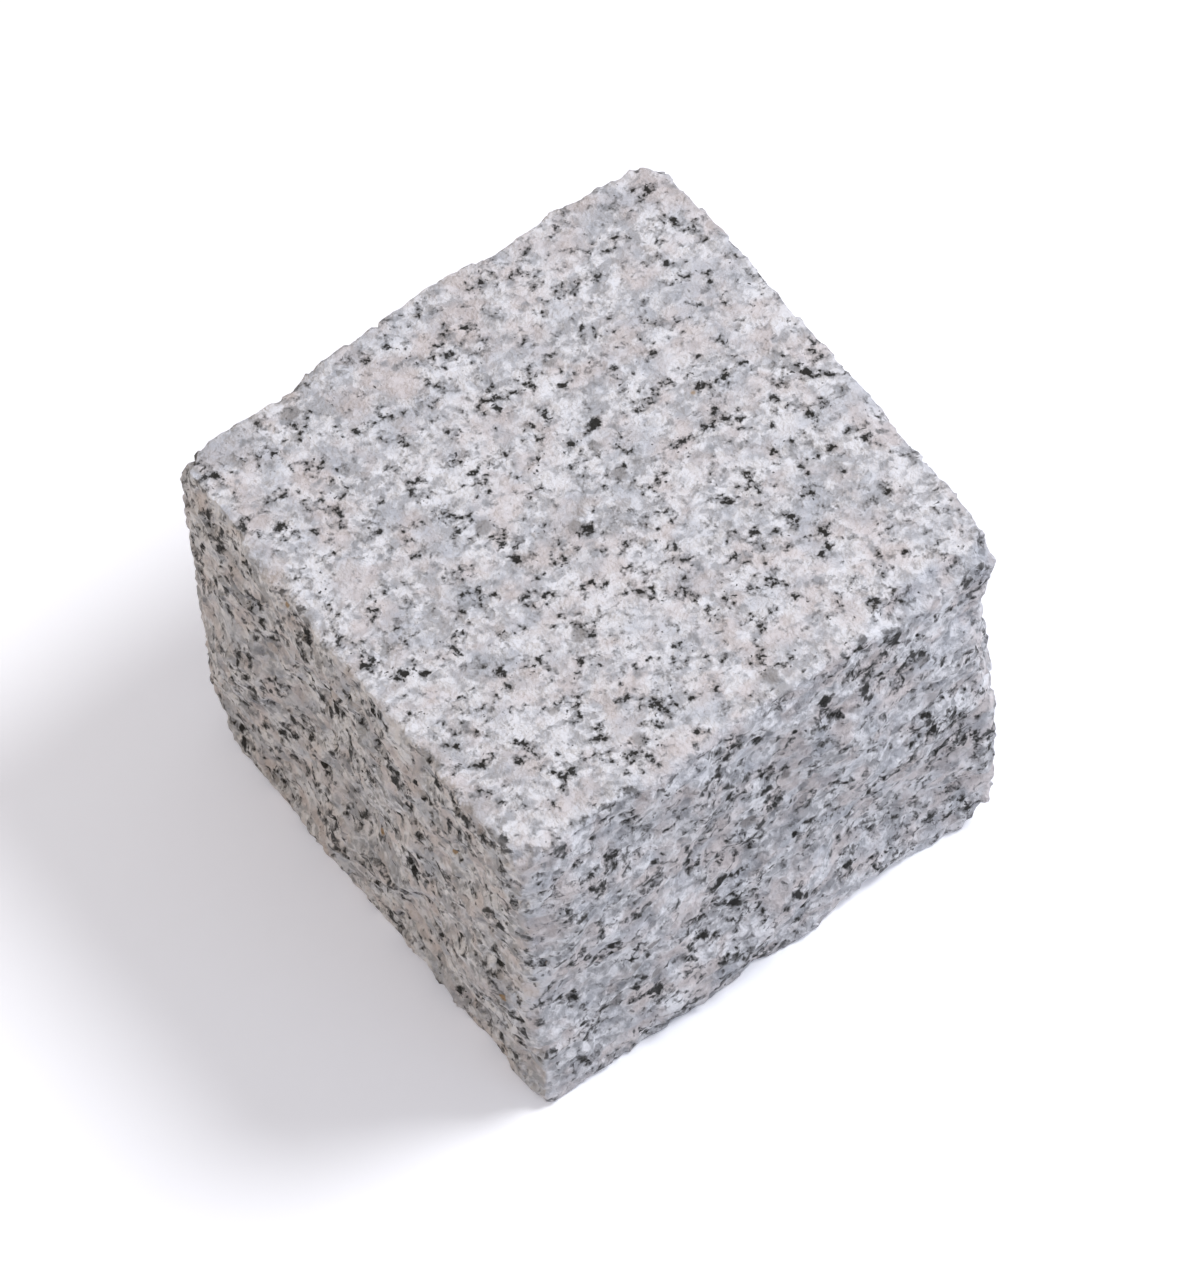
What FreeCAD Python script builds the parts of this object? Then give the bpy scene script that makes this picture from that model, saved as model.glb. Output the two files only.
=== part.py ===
# A granite sett: one small paving block, split from a slab.
# The wearing face (top) and the bedding face (bottom) are flat, and the four upright faces are as
# the splitter left them: broken in flat flakes over a gentle swell and a little out of square,
# with worn arrises and a few shells spalled off the edges and corners.
# Frame: +Z up, +X along the front face to the right, +Y to the back. The origin is the middle of
# the bedding face.
import FreeCAD, Part
from FreeCAD import Vector
import math
import os
import random

# Block sizes in millimetres, face to face at the wearing face
length = 100.5
width = 99.5
height = 79.0

# Worn edges: the radius of the roll on each kind of edge, and the angle in degrees off the face at
# which a roll starts, so that it runs out over the flakes of the face
corner_radius = 2.6
arris_radius = 1.0
base_radius = 1.2
roll_start = 20.0

# The swell that the splitter leaves in an upright face
swell_rise = 0.9
swell_pitch = 74.0

# The flakes that an upright face is broken in: how far apart their corners are, how far a corner
# strays from its even place, as a share of that, and how far it stands in or out by itself and
# along with the corners round it
flake_step = 5.5
flake_stray = 0.3
flake_rise = 0.8
lump_rise = 1.15

# How each upright face departs from a true one, seen from outside: how far its foot and its right
# end stand out (minus is in), how far its middle bellies out (minus is hollow), and where its
# swell starts, as a share of a pitch
foot_out = {"front": 1.0, "right": -1.5, "back": -2.0, "left": -1.8}
end_out = {"front": -0.8, "right": 0.9, "back": -1.6, "left": 0.3}
belly_out = {"front": 1.0, "right": -1.2, "back": 0.6, "left": 0.8}
swell_start = {"front": 0.70, "right": 0.36, "back": 0.58, "left": 0.02}

# Shells spalled off: the faces that meet there, how far along their edge, as a share of it from
# its low-coordinate end, and the chord and depth of the scar (a corner has no along)
spalls = [
    (("front", "right"), 0.68, 46.0, 3.6),
    (("front", "left"), 0.40, 30.0, 2.4),
    (("front", "top"), 0.84, 30.0, 2.6),
    (("left", "top"), 0.66, 24.0, 2.0),
    (("right", "top"), 0.30, 26.0, 2.2),
    (("back", "top"), 0.22, 22.0, 2.0),
    (("left", "bottom"), 0.34, 28.0, 2.6),
    (("front", "bottom"), 0.72, 26.0, 2.4),
    (("right", "bottom"), 0.60, 30.0, 3.0),
    (("front", "right", "top"), 0.0, 20.0, 4.6),
    (("front", "left", "top"), 0.0, 13.0, 3.2),
    (("left", "back", "top"), 0.0, 14.0, 3.6),
    (("front", "right", "bottom"), 0.0, 22.0, 5.6),
    (("left", "back", "bottom"), 0.0, 26.0, 6.8),
]

# The slab is larger than the sett all round by this much, which the splitter removes
waste = 12.0

normals = {
    "front": Vector(0, -1, 0),
    "right": Vector(1, 0, 0),
    "back": Vector(0, 1, 0),
    "left": Vector(-1, 0, 0),
    "top": Vector(0, 0, 1),
    "bottom": Vector(0, 0, -1),
}
sides = ("front", "right", "back", "left")
half = Vector(length / 2, width / 2, height / 2)
middle = Vector(0, 0, height / 2)


def along(side):
    """Direction that runs to the right on an upright face, seen from outside."""
    return Vector(0, 0, 1).cross(normals[side])


def reach(direction):
    """Half the block's size in the direction of an axis."""
    return abs(direction.x) * half.x + abs(direction.y) * half.y


def relief(side, run, rise):
    """How far a split face stands outside its true plane, at a point of the face."""
    share = run / reach(along(side))
    up = rise / height
    start = swell_start[side]
    lean = foot_out[side] * (1 - up)
    turn = end_out[side] * share
    belly = belly_out[side] * (1 - share**2) * 4 * up * (1 - up)
    across = math.cos(2 * math.pi * (run / swell_pitch + start))
    upward = math.cos(2 * math.pi * (rise / swell_pitch - start))
    return lean + turn + belly + swell_rise * across * upward


def stations(low, high):
    """Even places from low to high, about a flake step apart."""
    count = round((high - low) / flake_step)
    return [low + (high - low) * i / count for i in range(count + 1)]


def flake_corners(side):
    """The corners of a face's flakes, in rows from below its foot to above its top."""
    chance = random.Random(side)
    out = normals[side]
    run_end = reach(along(side)) + 2 * waste
    runs = stations(-run_end, run_end)
    rises = stations(-waste, height + waste)
    draws = [[chance.uniform(-1, 1) for run in runs] for rise in rises]
    rows = []
    for i, rise in enumerate(rises):
        row = []
        for j, run in enumerate(runs):
            strays = [flake_step * flake_stray * chance.uniform(-1, 1) for direction in range(2)]
            over = run + strays[0] * (run not in (runs[0], runs[-1]))
            up = rise + strays[1] * (rise not in (rises[0], rises[-1]))
            near = [draw for line in draws[max(i - 1, 0):i + 2] for draw in line[max(j - 1, 0):j + 2]]
            lift = flake_rise * draws[i][j] + lump_rise * sum(near) / math.sqrt(len(near))
            place = reach(out) + relief(side, over, up) + lift
            row.append(out * place + along(side) * over + Vector(0, 0, up))
        rows.append(row)
    return rows


def flat(points):
    """The flat face with these corners."""
    return Part.Face(Part.makePolygon(points + points[:1]))


def flakes(rows, out):
    """The flat flakes between the corners: each square of four is broken along its flatter way."""
    found = []
    for low, high in zip(rows, rows[1:]):
        for a, b, c, d in zip(low, low[1:], high[1:], high):
            if abs((a - c).dot(out)) < abs((b - d).dot(out)):
                found += [flat([a, b, c]), flat([a, c, d])]
            else:
                found += [flat([a, b, d]), flat([b, c, d])]
    return found


def split_off(side):
    """The waste outside one upright face, bounded by the flakes of the split."""
    out = normals[side]
    rows = flake_corners(side)
    back = reach(out) + 3 * waste
    rims = [rows[0], rows[-1], [row[0] for row in rows], [row[-1] for row in rows]]
    walls = []
    for rim in rims:
        ends = [point + out * (back - point.dot(out)) for point in (rim[-1], rim[0])]
        walls.append(flat(rim + ends))
    corners = [rows[0][0], rows[0][-1], rows[-1][-1], rows[-1][0]]
    walls.append(flat([point + out * (back - point.dot(out)) for point in corners]))
    return Part.Solid(Part.Shell(flakes(rows, out) + walls))


def slab():
    """The piece of slab that the sett is split from."""
    corner = Vector(-half.x - waste, -half.y - waste, 0)
    return Part.makeBox(length + 2 * waste, width + 2 * waste, height, corner)


def spot(faces, share):
    """The point of the split block where the faces meet, that share of the way along their edge."""
    out = Vector()
    for face in faces:
        out += normals[face]
    free = Vector(1 - abs(out.x), 1 - abs(out.y), 1 - abs(out.z))
    place = out + free * (2 * share - 1)
    point = middle + Vector(place.x * half.x, place.y * half.y, place.z * half.z)
    stand = Vector()
    for face in faces:
        if face in sides:
            stand += normals[face] * relief(face, point.dot(along(face)), point.z)
    return point + stand


def wear(faces, radius):
    """The waste outside the roll that an edge is worn to, from end to end of the edge."""
    start = spot(faces, 0)
    run = spot(faces, 1) - start
    centre = start + run * 0.5
    run.normalize()
    axes = []
    for face in faces:
        out = normals[face] - run * normals[face].dot(run)
        out.normalize()
        axes.append(out)
        centre -= out * radius
    rim = []
    tails = []
    for angle in (roll_start, 45.0, 90.0 - roll_start):
        turn = math.radians(angle)
        rim.append(centre + (axes[0] * math.cos(turn) + axes[1] * math.sin(turn)) * radius)
        tails.append((axes[0] * math.sin(turn) - axes[1] * math.cos(turn)) * waste)
    first = rim[0] + tails[0]
    last = rim[2] - tails[2]
    far = centre + (axes[0] + axes[1]) * 2 * waste
    outline = [
        Part.Arc(*rim).toShape(),
        Part.makeLine(rim[2], last),
        Part.makeLine(last, far),
        Part.makeLine(far, first),
        Part.makeLine(first, rim[0]),
    ]
    roll_length = 2 * (length + width + height)
    section = Part.Face(Part.Wire(outline))
    section.translate(run * (-roll_length / 2))
    return section.extrude(run * roll_length)


def worn_edges():
    """The waste of every edge of the block: upright corners, top arrises and bottom edges."""
    rolls = []
    for place, side in enumerate(sides):
        rolls.append(wear((sides[place - 1], side), corner_radius))
        rolls.append(wear((side, "top"), arris_radius))
        rolls.append(wear((side, "bottom"), base_radius))
    return rolls


def scar(faces, share, chord, depth):
    """The ball that scoops one shell off the edge or corner where the faces meet."""
    out = Vector()
    for face in faces:
        out += normals[face]
    out.normalize()
    radius = (chord**2 / 4 + depth**2) / (2 * depth)
    return Part.makeSphere(radius, spot(faces, share) + out * (radius - depth))


def sett():
    block = slab().cut([split_off(side) for side in sides])
    block = block.cut(worn_edges())
    block = block.cut([scar(*spall) for spall in spalls])
    box = block.optimalBoundingBox(False, False)
    block.translate(Vector(-box.Center.x, -box.Center.y, -box.ZMin))
    return block


os.makedirs("parts", exist_ok=True)
stone = sett()
stone.exportStep("parts/granite_sett.step")
size = stone.optimalBoundingBox(False, False)
print("solids", len(stone.Solids), "valid", stone.isValid(), "faces", len(stone.Faces))
print("size mm", round(size.XLength, 2), round(size.YLength, 2), round(size.ZLength, 2))
print("volume cm3", round(stone.Volume / 1000, 1))
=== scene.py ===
import math

import bmesh
import bpy
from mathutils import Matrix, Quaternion, Vector, noise
from mathutils.bvhtree import BVHTree


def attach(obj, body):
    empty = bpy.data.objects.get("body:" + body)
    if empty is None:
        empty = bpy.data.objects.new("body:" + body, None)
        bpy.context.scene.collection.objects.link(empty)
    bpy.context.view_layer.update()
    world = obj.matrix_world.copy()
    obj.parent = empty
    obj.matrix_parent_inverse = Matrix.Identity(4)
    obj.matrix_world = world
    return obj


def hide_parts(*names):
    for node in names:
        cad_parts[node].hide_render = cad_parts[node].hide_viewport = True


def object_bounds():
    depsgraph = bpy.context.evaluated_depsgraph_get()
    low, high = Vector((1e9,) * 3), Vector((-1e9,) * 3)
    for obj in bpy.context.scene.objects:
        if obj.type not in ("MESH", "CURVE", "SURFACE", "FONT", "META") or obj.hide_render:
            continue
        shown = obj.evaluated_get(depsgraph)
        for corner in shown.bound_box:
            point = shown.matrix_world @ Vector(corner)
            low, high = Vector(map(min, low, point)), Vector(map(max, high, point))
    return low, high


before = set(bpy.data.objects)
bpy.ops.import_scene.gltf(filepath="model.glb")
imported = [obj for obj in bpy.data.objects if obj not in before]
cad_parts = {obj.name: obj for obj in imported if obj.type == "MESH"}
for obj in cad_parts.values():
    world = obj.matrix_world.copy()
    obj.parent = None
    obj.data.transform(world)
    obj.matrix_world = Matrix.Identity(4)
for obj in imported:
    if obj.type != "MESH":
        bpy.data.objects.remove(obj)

cad_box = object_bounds()

# The stone. One block of light grey granite, split on four sides from a slab whose top was flamed
# flat; the splitter and the handling have knocked its arrises about. It lies loose on its bed.
stone_low, stone_high = cad_box
merge_gap = 0.00001
mesh_step = 0.00078

# The rough block comes from the sett's own solid, recut into small even squares.
blank = bmesh.new()
blank.from_mesh(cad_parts["granite_sett"].data)
bmesh.ops.remove_doubles(blank, verts=blank.verts, dist=merge_gap)
blank_mesh = bpy.data.meshes.new("stone_blank")
blank.to_mesh(blank_mesh)
blank_object = bpy.data.objects.new("stone_blank", blank_mesh)
bpy.context.collection.objects.link(blank_object)
recut = blank_object.modifiers.new("recut", "REMESH")
recut.mode = "VOXEL"
recut.voxel_size = mesh_step
depsgraph = bpy.context.evaluated_depsgraph_get()
stone_mesh = bpy.data.meshes.new_from_object(blank_object.evaluated_get(depsgraph))
stone_mesh.name = "stone"
bpy.data.objects.remove(blank_object)


def rub(rough, spots):
    """One round of rubbing: each spot goes half the way to the middle of those round it."""
    ways = {"use_axis_x": True, "use_axis_y": True, "use_axis_z": True}
    bmesh.ops.smooth_vert(rough, verts=spots, factor=0.5, **ways)
    rough.normal_update()


# One round takes off the steps of the recutting, and the block is laid on its solid again.
block = bmesh.new()
block.from_mesh(stone_mesh)
rub(block, block.verts)
blank_surface = BVHTree.FromBMesh(blank)
for corner in block.verts:
    corner.co = blank_surface.find_nearest(corner.co)[0]
block.normal_update()


def clamped(value):
    """The value, held between 0 and 1."""
    return min(max(value, 0.0), 1.0)


# The chisel leaves the top arris crisp, so the block is made up there to the face a little below
# it, except where a scar was knocked out of it, and less and less towards the blunt corners.
arris_depth = 0.005
arris_round = 0.0006
arris_share = 0.6
scar_depth = 0.0024
scar_rim = 0.0007
corner_reach = 0.010
level_lean = 0.95
for corner in block.verts:
    spot = corner.co
    down = stone_high[2] - spot.z
    if down < arris_depth and abs(corner.normal.z) < level_lean:
        aside = Vector((corner.normal.x**3, corner.normal.y**3, 0.0)).normalized()
        beside = Vector((spot.x, spot.y, stone_high[2] - arris_depth)) + aside * arris_depth
        face_below = blank_surface.ray_cast(beside, -aside)[0]
        if face_below is None:
            continue
        short = max((face_below - spot).dot(aside), 0.0)
        whole = clamped((scar_depth - short) / scar_rim)
        crisp = clamped(arris_share + (1.0 - arris_share) * down / arris_round)
        from_corner = max(stone_high[0] - abs(spot.x), stone_high[1] - abs(spot.y))
        corner.co += aside * short * whole * crisp * clamped(2.0 * from_corner / corner_reach - 1.0)
blank.free()

# The back right corner has lost its tip, and is nearly flat where it broke.
tip_way = Vector((0.64, 0.64, 0.42)).normalized()
tip_loss = 0.0032
tip_flatness = 0.85
tip_end = max(corner.co.dot(tip_way) for corner in block.verts) - tip_loss
for corner in block.verts:
    corner.co -= tip_way * max(corner.co.dot(tip_way) - tip_end, 0.0) * tip_flatness
block.normal_update()

# A copy of the block is rubbed down, to show how far an arris can be knocked off.
wear_rounds = 7
worn = block.copy()
for turn in range(wear_rounds):
    rub(worn, worn.verts)

# The bake's map: one flat chart for each face of the block, laid out in two columns. A face is known
# by the axis that it looks along and by whether it looks up that axis.
chart_width = 0.110
chart_rows = (0.110, 0.085, 0.085)
charts = {
    (2, True): (0, 0),
    (2, False): (1, 0),
    (1, False): (0, 1),
    (0, True): (1, 1),
    (1, True): (0, 2),
    (0, False): (1, 2),
}
chart_map = block.loops.layers.uv.new("OFBake")
for face, soft_face in zip(block.faces, worn.faces):
    facing = soft_face.normal
    axis = max(range(3), key=lambda way: abs(facing[way]))
    column, row = charts[axis, facing[axis] > 0]
    for loop in face.loops:
        spot = loop.vert.co
        across = (column + 0.5) * chart_width + spot[1 if axis == 0 else 0]
        middle = spot.y if axis == 2 else spot.z - stone_high[2] / 2
        up = sum(chart_rows[:row]) + chart_rows[row] / 2 + middle
        loop[chart_map].uv = (across / (2 * chart_width), up / sum(chart_rows))

# The surface: flamed grain on top, small chips and grain on the split sides, a smooth bed. The
# arrises are knocked off chip by chip, the sharpest points first, and there they are bruised pale
# and given a painted highlight.

# How far up or down a face looks where it starts to be top or bed, and where it is nothing else
top_start = 0.72
top_full = 0.94
bed_start = 0.6
bed_full = 0.9

# The marks of the flame and the chips of the splitter, with the fine grain that both lay bare: their
# sizes, how high they stand, and how far the surface lies back for them
grain_size = 0.0017
flame_size = 0.0021
top_flame = 0.00012
top_grain = 0.000096
top_back = 0.000144
chip_size = 0.0034
chip_width_to_height = 1.7
chip_shuffle = 61.0
split_chip = 0.0008
split_grain = 0.00022
split_back = 0.0004

# The knocks: which chips have one, how much that changes from patch to patch, and how sharp a point
# has to be to lose its end anyway, in steps of rubbing
knock_patch = 0.006
knock_sway = 0.5
knock_start = 0.625
knock_rate = 1.6
knock_step = 0.0007
sharp_start = 1.2


def chipped(spot):
    """The small chip that a spot of broken stone lies on: its lean there, and a number for it."""
    place = Vector((spot.x, spot.y, spot.z * chip_width_to_height)) / chip_size
    middle = noise.voronoi(place)[1][0]
    draw = noise.cell_vector(middle * chip_shuffle)
    lean = draw * 2.0 - Vector((1.0, 1.0, 1.0))
    return lean.dot(place - middle), draw.z


wearing = block.verts.layers.float.new("wearing_face")
# How sharp each point of an arris stands out: there the colour paints it pale, partly bruised stone and
# partly a painted highlight.
arris_bruise_and_highlight = block.verts.layers.float.new("bruised_and_highlit_arris")
moves = []
for corner, soft in zip(block.verts, worn.verts):
    spot = corner.co
    out = corner.normal
    top = clamped((out.z - top_start) / (top_full - top_start))
    bed = clamped((-out.z - bed_start) / (bed_full - bed_start))
    sharp = (spot - soft.co).dot(out) / knock_step
    corner[wearing] = top
    corner[arris_bruise_and_highlight] = clamped(sharp)
    lean, number = chipped(spot)
    grain = noise.noise(spot / grain_size)
    knock = knock_rate * (number - knock_start) + knock_sway * noise.noise(spot / knock_patch)
    knock = clamped(knock + max(sharp - sharp_start, 0.0))
    aside = Vector((out.x, out.y, 0.0)).normalized()
    chip = aside * (1.0 - top - bed) * (split_chip * lean + split_grain * grain - split_back)
    flame = out * top * (top_flame * noise.noise(spot / flame_size) + top_grain * grain - top_back)
    moves.append(spot.lerp(soft.co, knock) + chip + flame)
worn.free()
for corner, move in zip(block.verts, moves):
    for way in range(3):
        corner.co[way] = min(max(move[way], stone_low[way]), stone_high[way])
block.normal_update()

# Where chips were pushed into each other, the crease between them is eased.
ease_rounds = 4
sharpest_crease = math.radians(95.0)
for turn in range(ease_rounds):
    creased = []
    for corner in block.verts:
        if max(edge.calc_face_angle(0.0) for edge in corner.link_edges) > sharpest_crease:
            creased.append(corner)
    rub(block, creased)
for face in block.faces:
    face.smooth = True
block.to_mesh(stone_mesh)
block.free()
stone = bpy.data.objects.new("stone", stone_mesh)
bpy.context.collection.objects.link(stone)

# Granite, all the way through: white feldspar, grey quartz, some of it beige, and black mica flecks.
# Its sizes are in millimetres.
millimetres = 1000.0
feldspar = (0.40, 0.40, 0.425, 1)
milk = (0.79, 0.785, 0.82, 1)
quartz = (0.22, 0.225, 0.245, 1)
beige = (0.62, 0.545, 0.535, 1)
cold = (0.45, 0.47, 0.525, 1)
brown = (0.25, 0.235, 0.235, 1)
smoke = (0.12, 0.118, 0.12, 1)
mica = (0.014, 0.013, 0.011, 1)
rust = (0.30, 0.17, 0.045, 1)
granite_shine = 0.25
granite = bpy.data.materials.new("granite")
granite.use_nodes = True
pattern = granite.node_tree
shader = pattern.nodes["Principled BSDF"]


def add(kind, inputs, output=0, **settings):
    """One node of the pattern, fed with numbers or with other nodes, and its output."""
    made = pattern.nodes.new(kind)
    for name, value in settings.items():
        setattr(made, name, value)
    for name, value in inputs.items():
        if isinstance(value, bpy.types.NodeSocket):
            pattern.links.new(value, made.inputs[name])
        else:
            made.inputs[name].default_value = value
    return made.outputs[output]


def maths(operation, first, second):
    return add("ShaderNodeMath", {0: first, 1: second}, operation=operation)


def times(value, share):
    return maths("MULTIPLY", value, share)


def plus(first, second):
    return maths("ADD", first, second)


def ramp(value, low, high, low_to=0.0, high_to=1.0):
    """The value carried from one range to another, smoothly, and held at its ends."""
    ends = {"Value": value, "From Min": low, "From Max": high, "To Min": low_to, "To Max": high_to}
    return add("ShaderNodeMapRange", ends, interpolation_type="SMOOTHSTEP")


def mixed(share, first, second):
    """A share of the second colour over the first; a Mix node's colours are its sockets 6, 7 and 2."""
    return add("ShaderNodeMix", {0: share, 6: first, 7: second}, 2, data_type="RGBA")


def speckle(place, size):
    """Grains of about that size: three numbers for each, and how far off its middle is."""
    cells = add("ShaderNodeTexVoronoi", {"Vector": place, "Scale": 1.0 / size}).node
    parts = add("ShaderNodeSeparateColor", {"Color": cells.outputs["Color"]}).node
    return parts.outputs, cells.outputs["Distance"]


def facet(place, size, slope):
    """Broken crystals of about that size: the height of each one's leaning face."""
    cells = add("ShaderNodeTexVoronoi", {"Vector": place, "Scale": 1.0 / size}).node
    lean = {0: cells.outputs["Color"], 1: (0.5, 0.5, 0.5)}
    lean = add("ShaderNodeVectorMath", lean, operation="SUBTRACT")
    away = {0: place, 1: cells.outputs["Position"]}
    away = add("ShaderNodeVectorMath", away, operation="SUBTRACT")
    height = add("ShaderNodeVectorMath", {0: lean, 1: away}, "Value", operation="DOT_PRODUCT")
    return times(height, 2.0 * slope)


def cloud(place, size, shift, detail=2.0):
    """Soft patches of about that size; each shift gives others."""
    place = add("ShaderNodeVectorMath", {0: place, 1: (shift, -shift, 2 * shift)}, operation="ADD")
    return add("ShaderNodeTexNoise", {"Vector": place, "Scale": 1.0 / size, "Detail": detail})


def strayed(place, size, amount):
    """The place, pushed about so that what is drawn there has ragged outlines."""
    push = add("ShaderNodeTexNoise", {"Vector": place, "Scale": 1.0 / size, "Detail": 2.0}, "Color")
    push = add("ShaderNodeVectorMath", {0: push, 1: (0.5, 0.5, 0.5)}, operation="SUBTRACT")
    push = add("ShaderNodeVectorMath", {0: push, "Scale": amount}, operation="SCALE")
    return add("ShaderNodeVectorMath", {0: place, 1: push}, operation="ADD")


def few(number, past, near, core, rim, strength=0.8):
    """The few grains whose number is past a limit, at full strength in their core and none at the rim."""
    middle = ramp(near, low=core, high=rim, low_to=strength, high_to=0.0)
    return times(maths("GREATER_THAN", number, past), middle)


place = add("ShaderNodeTexCoord", {}, "Object")
place = add("ShaderNodeVectorMath", {0: place, "Scale": millimetres}, operation="SCALE")
ragged = strayed(strayed(place, size=3.0, amount=1.5), size=0.7, amount=0.6)
flamed = add("ShaderNodeAttribute", {}, "Fac", attribute_name="wearing_face")
arris = add("ShaderNodeAttribute", {}, "Fac", attribute_name="bruised_and_highlit_arris")
dust = cloud(place, size=0.6, shift=5.0, detail=3.0)

# Feldspar, paler and greyer by the grain and by the patch
grain_share = 0.16
patch_share = 0.60
draw, near = speckle(ragged, size=1.7)
pale = plus(cloud(ragged, size=1.5, shift=0.0, detail=3.0), times(draw[0], grain_share))
pale = plus(pale, times(cloud(place, size=8.0, shift=91.0), patch_share))
colour = mixed(ramp(pale, low=0.70, high=1.01), feldspar, milk)

# Patches of beige, of cold grey and of quartz in it, a few brown knots, and the flame's pale bloom
bloom = 0.10
beige_patch = cloud(ragged, size=6.0, shift=37.0)
cold_patch = cloud(ragged, size=7.0, shift=63.0)
quartz_patch = cloud(ragged, size=2.8, shift=11.0, detail=3.0)
colour = mixed(ramp(beige_patch, low=0.42, high=0.68, high_to=0.70), colour, beige)
colour = mixed(ramp(cold_patch, low=0.46, high=0.72, high_to=0.60), colour, cold)
colour = mixed(ramp(quartz_patch, low=0.55, high=0.72, high_to=0.80), colour, quartz)
knot, knot_near = speckle(strayed(place, size=1.5, amount=0.8), size=4.0)
colour = mixed(few(knot[0], past=0.985, near=knot_near, core=0.28, rim=0.45), colour, brown)
colour = mixed(times(flamed, bloom), colour, milk)

# Mica, gathered in loose clusters, each fleck black in the middle and grey round it, with fine
# specks between; a few rust spots; and the arrises pale over it all, partly bruised stone and partly
# a painted highlight along the edge
ragged_edge = 0.30
bruise_and_highlight = 0.42
mica_clusters_and_split_shade = maths("SUBTRACT", cloud(place, size=5.0, shift=23.0), 0.5)
# On the split sides the clusters grow: partly the fresh split's own mica, partly painted shade of the
# chips' relief.
mica_clusters_and_split_shade = times(mica_clusters_and_split_shade, ramp(flamed, low=0.0, high=1.0, low_to=0.76, high_to=0.60))
fleck = plus(cloud(strayed(place, size=1.4, amount=1.2), size=1.7, shift=51.0, detail=3.0), mica_clusters_and_split_shade)
fleck = plus(fleck, times(maths("SUBTRACT", dust, 0.5), ragged_edge))
# The grey round the flecks goes darker on the split sides: partly fresh mica, partly painted shade of the
# chips' relief.
smoke_and_split_shade = ramp(flamed, low=0.0, high=1.0, low_to=0.88, high_to=0.62)
colour = mixed(ramp(fleck, low=0.52, high=0.66, high_to=smoke_and_split_shade), colour, smoke)
colour = mixed(ramp(fleck, low=0.645, high=0.715, high_to=0.97), colour, mica)
speck = plus(cloud(ragged, size=0.8, shift=71.0, detail=1.0), mica_clusters_and_split_shade)
colour = mixed(ramp(speck, low=0.74, high=0.80, high_to=0.9), colour, mica)
colour = mixed(few(draw[2], past=0.9985, near=near, core=0.25, rim=0.5), colour, rust)
# The pale arris: partly bruised stone, partly a painted highlight along the edge.
colour = mixed(times(arris, bruise_and_highlight), colour, milk)

# Broken crystals that catch the light each its own way, and the pitting between them
pitting = 0.6
pale_rise = 0.36
rough = plus(times(dust, pitting), times(pale, pale_rise))
rough = plus(rough, facet(strayed(place, size=1.2, amount=0.4), size=1.5, slope=0.45))
depth = ramp(flamed, low=0.0, high=1.0, low_to=0.9, high_to=0.7)
bump = {"Height": rough, "Strength": depth, "Distance": 1.0 / millimetres}
matt = ramp(draw[1], low=0.0, high=1.0, low_to=0.75, high_to=0.42)
pattern.links.new(add("ShaderNodeBump", bump, "Normal"), shader.inputs["Normal"])
pattern.links.new(matt, shader.inputs["Roughness"])
pattern.links.new(colour, shader.inputs["Base Color"])
shader.inputs["Specular IOR Level"].default_value = granite_shine
stone_mesh.materials.clear()
stone_mesh.materials.append(granite)

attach(stone, "root")
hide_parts("granite_sett")

# The floor. A plain pale sheet under the stone, wide enough to fill the view. It shows a little
# paler than it is lit, as paper does in a bright room, and keeps the stone's shadow.
floor_size = 6.0
floor_drop = 0.0002
floor_glow = 0.20
glow_colour = (0.74, 0.79, 1.0, 1)
paper_colour = (0.98, 0.98, 0.985, 1)
paper_roughness = 0.9
floor_mesh = bpy.data.meshes.new("floor")
sheet = bmesh.new()
bmesh.ops.create_grid(sheet, x_segments=1, y_segments=1, size=floor_size)
sheet.to_mesh(floor_mesh)
sheet.free()
floor = bpy.data.objects.new("floor", floor_mesh)
floor.location.z = -floor_drop
bpy.context.collection.objects.link(floor)
paper = bpy.data.materials.new("paper")
paper.use_nodes = True
pattern = paper.node_tree
shader = pattern.nodes["Principled BSDF"]
rays = add("ShaderNodeLightPath", {}).node.outputs
seen = maths("MAXIMUM", rays["Is Camera Ray"], rays["Is Glossy Ray"])
seen = maths("MAXIMUM", seen, rays["Is Transmission Ray"])
pattern.links.new(times(seen, floor_glow), shader.inputs["Emission Strength"])
shader.inputs["Emission Color"].default_value = glow_colour
shader.inputs["Base Color"].default_value = paper_colour
shader.inputs["Roughness"].default_value = paper_roughness
shader.inputs["Specular IOR Level"].default_value = 0.0
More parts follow.
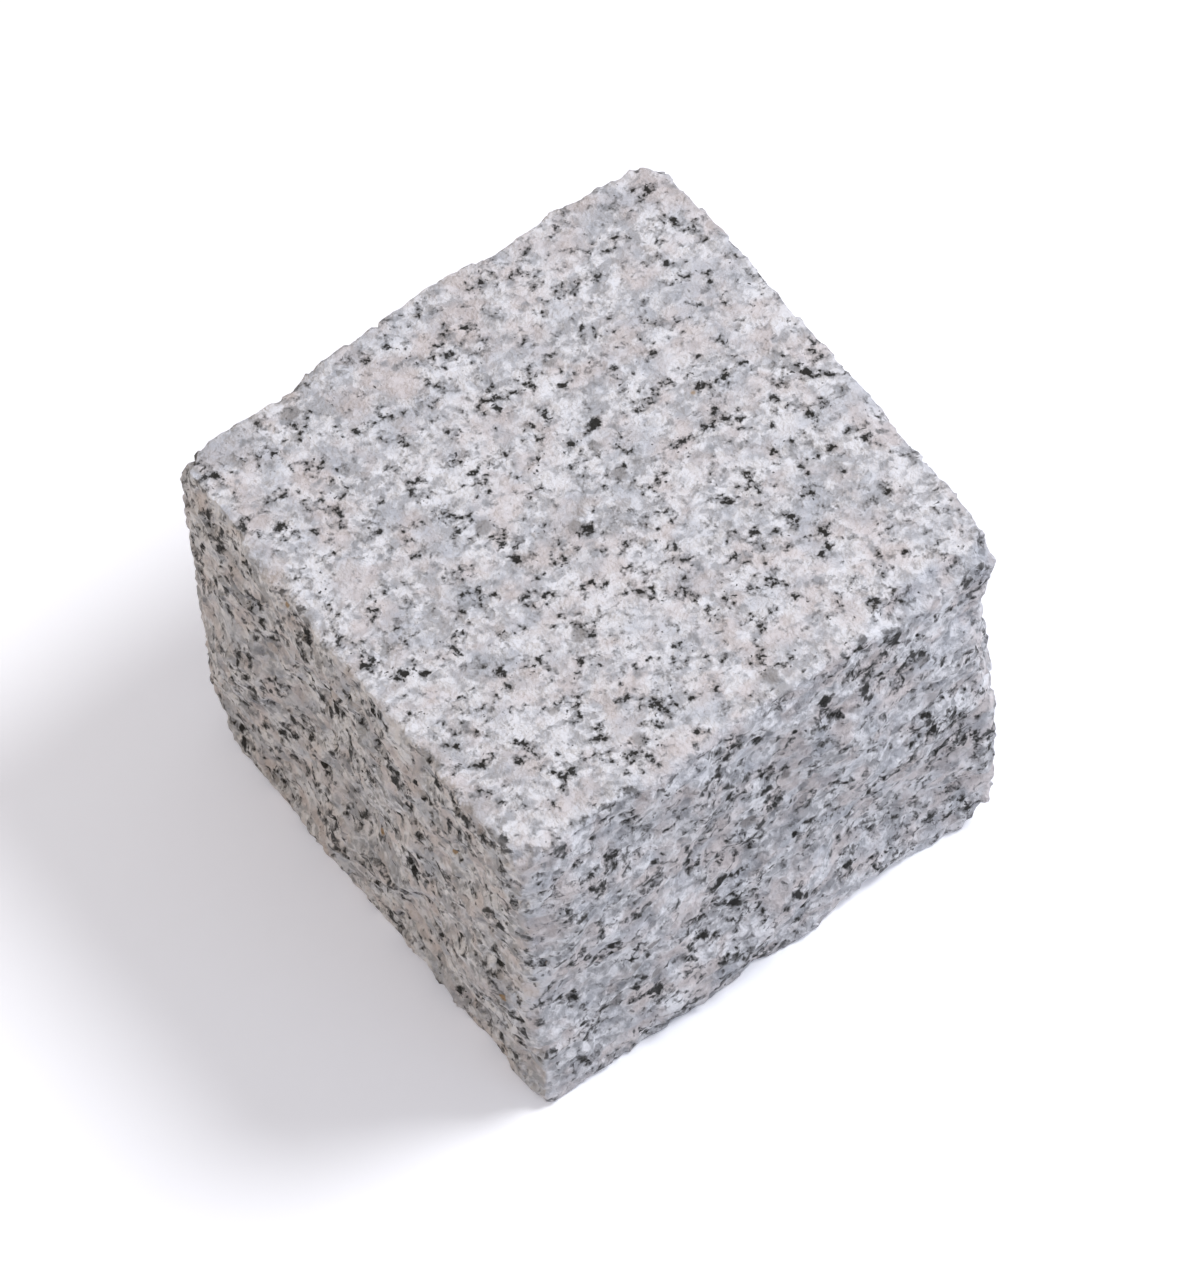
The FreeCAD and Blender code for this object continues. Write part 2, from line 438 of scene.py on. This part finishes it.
floor_mesh.materials.append(paper)

# The light. A pale room, and one broad lamp high on the right whose shadow falls soft to the left.
# A small warm lamp stands low behind on the left, and a cold one low in front. Each has the way to
# it from the stone, how far off it stands, its width, its power and its tint.
room_colour = (1.0, 0.98, 1.0, 1)
room_strength = 0.52
lamps = {
    "high_lamp": ((0.49, -0.20, 0.85), 1.3, 0.42, 10.0, (0.935, 0.955, 1.0)),
    "low_lamp": ((-0.76, 0.50, 0.36), 1.0, 0.30, 0.96, (1.0, 0.61, 0.06)),
    "front_lamp": ((0.30, -0.92, 0.20), 1.0, 0.50, 1.05, (0.52, 0.71, 1.0)),
}
room = bpy.data.worlds.new("room")
bpy.context.scene.world = room
room.use_nodes = True
room.node_tree.nodes["Background"].inputs["Color"].default_value = room_colour
room.node_tree.nodes["Background"].inputs["Strength"].default_value = room_strength
for name, (lamp_from, away, size, power, tint) in lamps.items():
    lamp_data = bpy.data.lights.new(name, "AREA")
    lamp_data.shape = "DISK"
    lamp_data.size = size
    lamp_data.energy = power
    lamp_data.color = tint
    lamp = bpy.data.objects.new(name, lamp_data)
    lamp.location = Vector(lamp_from).normalized() * away
    lamp.rotation_euler = Vector(lamp_from).to_track_quat("Z", "Y").to_euler()
    bpy.context.collection.objects.link(lamp)

# The camera. It stands where the photograph was taken from, high over the stone's front left
# corner, with a long lens aimed at the middle of the stone and turned a little.
camera_from = Vector((-0.546, -0.806, 1.510))
camera_aim = Vector((0.0, 0.0, 0.036))
camera_roll = math.radians(-2.7)
camera_lens = 300.0
camera_reach = 50.0
camera_data = bpy.data.cameras.new("camera")
camera_data.lens = camera_lens
camera_data.clip_end = camera_reach
camera = bpy.data.objects.new("camera", camera_data)
camera.location = camera_aim + camera_from
camera_turn = camera_from.to_track_quat("Z", "Y") @ Quaternion((0, 0, 1), camera_roll)
camera.rotation_euler = camera_turn.to_euler()
bpy.context.collection.objects.link(camera)
bpy.context.scene.camera = camera
bpy.context.scene.view_settings.view_transform = "Standard"
